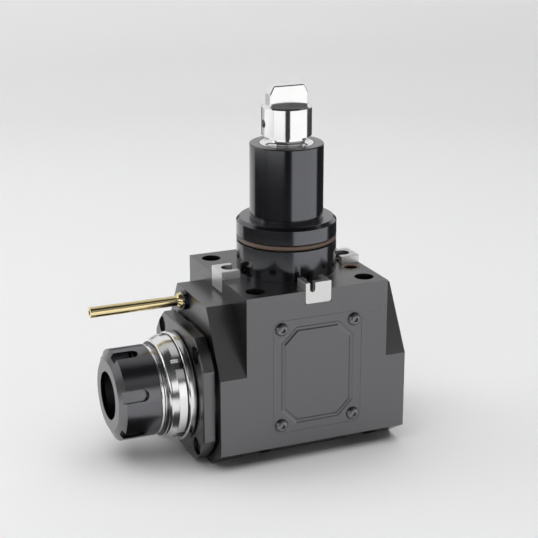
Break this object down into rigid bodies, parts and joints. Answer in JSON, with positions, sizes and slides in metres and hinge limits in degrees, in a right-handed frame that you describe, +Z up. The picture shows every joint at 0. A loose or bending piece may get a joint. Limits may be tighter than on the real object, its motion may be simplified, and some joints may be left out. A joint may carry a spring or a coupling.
{
  "type": "live tool holder",
  "caption": "Right-angle driven tool holder for a lathe turret: stepped block with a centring shank and drive tongue, collet nut and swivelling coolant nozzle.",
  "frame": {"origin": "on the shank's axis, in the plane of the mounting face that meets the turret", "axes": "+Z up the shank towards the drive tongue; the spindle nose points to -X; the notched key and one side cover face -Y"},
  "size_m": [0.1637, 0.0888, 0.1992],
  "materials": {
    "ground_steel": "satin ground and lightly polished block and plates",
    "key_steel": "bright ground",
    "black_steel": "glossy black oxide",
    "nut_steel": "satin black oxide",
    "bright_steel": "polished",
    "inner_steel": "ground",
    "gear_steel": "case hardened",
    "screw_steel": "dark oiled",
    "seal_rubber": "brown fluoro rubber",
    "dark_rubber": "black nitrile",
    "brass": "turned and polished"
  },
  "bodies": {
    "housing": {"housing": "ground_steel", "drive_sleeve": "black_steel", "spigot_o_ring": "seal_rubber", "key_front": "key_steel", "key_rear": "key_steel", "key_left": "key_steel", "key_right": "key_steel", "key_screws": "screw_steel", "flange_plate": "ground_steel", "flange_screws": "screw_steel", "gear_mesh_shim": "inner_steel", "coolant_o_ring": "seal_rubber", "spindle_seal": "dark_rubber", "shaft_seal": "dark_rubber", "shank_circlip": "inner_steel", "tail_circlips": "inner_steel", "tail_plug": "ground_steel", "front_cover": "ground_steel", "rear_cover": "ground_steel", "front_gasket": "dark_rubber", "rear_gasket": "dark_rubber", "front_cover_screws": "screw_steel", "rear_cover_screws": "screw_steel", "lower_bearing_outer": "inner_steel", "upper_bearing_outers": "inner_steel", "spindle_bearing_outers": "inner_steel", "rear_bearing_outer": "inner_steel"},
    "drive": {"drive_shaft": "inner_steel", "drive_gear": "gear_steel", "gear_washer": "inner_steel", "gear_screw": "screw_steel", "drive_nut": "inner_steel", "upper_spacer": "inner_steel", "drive_coupling": "bright_steel", "coupling_pin": "inner_steel", "lower_bearing_inner": "inner_steel", "upper_bearing_inners": "inner_steel"},
    "spindle": {"spindle": "inner_steel", "spindle_gear": "gear_steel", "spindle_lock_nut": "inner_steel", "gear_lock_nut": "inner_steel", "tail_shaft_circlip": "inner_steel", "front_ring": "bright_steel", "spanner_ring": "bright_steel", "spindle_bearing_inners": "inner_steel", "rear_bearing_inner": "inner_steel"},
    "nut_carrier": {"nut_ring": "bright_steel"},
    "collet_nut": {"collet_nut": "nut_steel"},
    "nozzle_socket": {"nozzle_ring": "black_steel", "nozzle_seal": "dark_rubber"},
    "nozzle": {"coolant_nozzle": "brass"}
  },
  "joints": [
    {"name": "spindle_spin", "type": "hinge", "parent": "housing", "child": "spindle", "pos_m": [0, 0, -0.05935], "axis": [1, 0, 0], "continuous": true},
    {"name": "drive_spin", "type": "hinge", "parent": "housing", "child": "drive", "pos_m": [0, 0, 0], "axis": [0, 0, 1], "continuous": true},
    {"name": "nut_travel", "type": "slide", "parent": "spindle", "child": "nut_carrier", "axis": [-1, 0, 0], "range_m": [0, 0.012]},
    {"name": "nut_turn", "type": "hinge", "parent": "nut_carrier", "child": "collet_nut", "pos_m": [-0.09, 0, -0.05935], "axis": [-1, 0, 0], "range_deg": [0, 2880]},
    {"name": "nozzle_swivel", "type": "hinge", "parent": "housing", "child": "nozzle_socket", "pos_m": [-0.0576, 0.0098, -0.0144], "axis": [-1, 0, 0], "continuous": true},
    {"name": "nozzle_tilt", "type": "hinge", "parent": "nozzle_socket", "child": "nozzle", "pos_m": [-0.0576, 0.0098, -0.0144], "axis": [0, 1, 0], "range_deg": [-15, 15]}
  ],
  "couplings": [
    {"joint": "drive_spin", "follows": "spindle_spin", "ratio": 1},
    {"joint": "nut_travel", "follows": "nut_turn", "m_per_rad": 0.00023873}
  ]
}
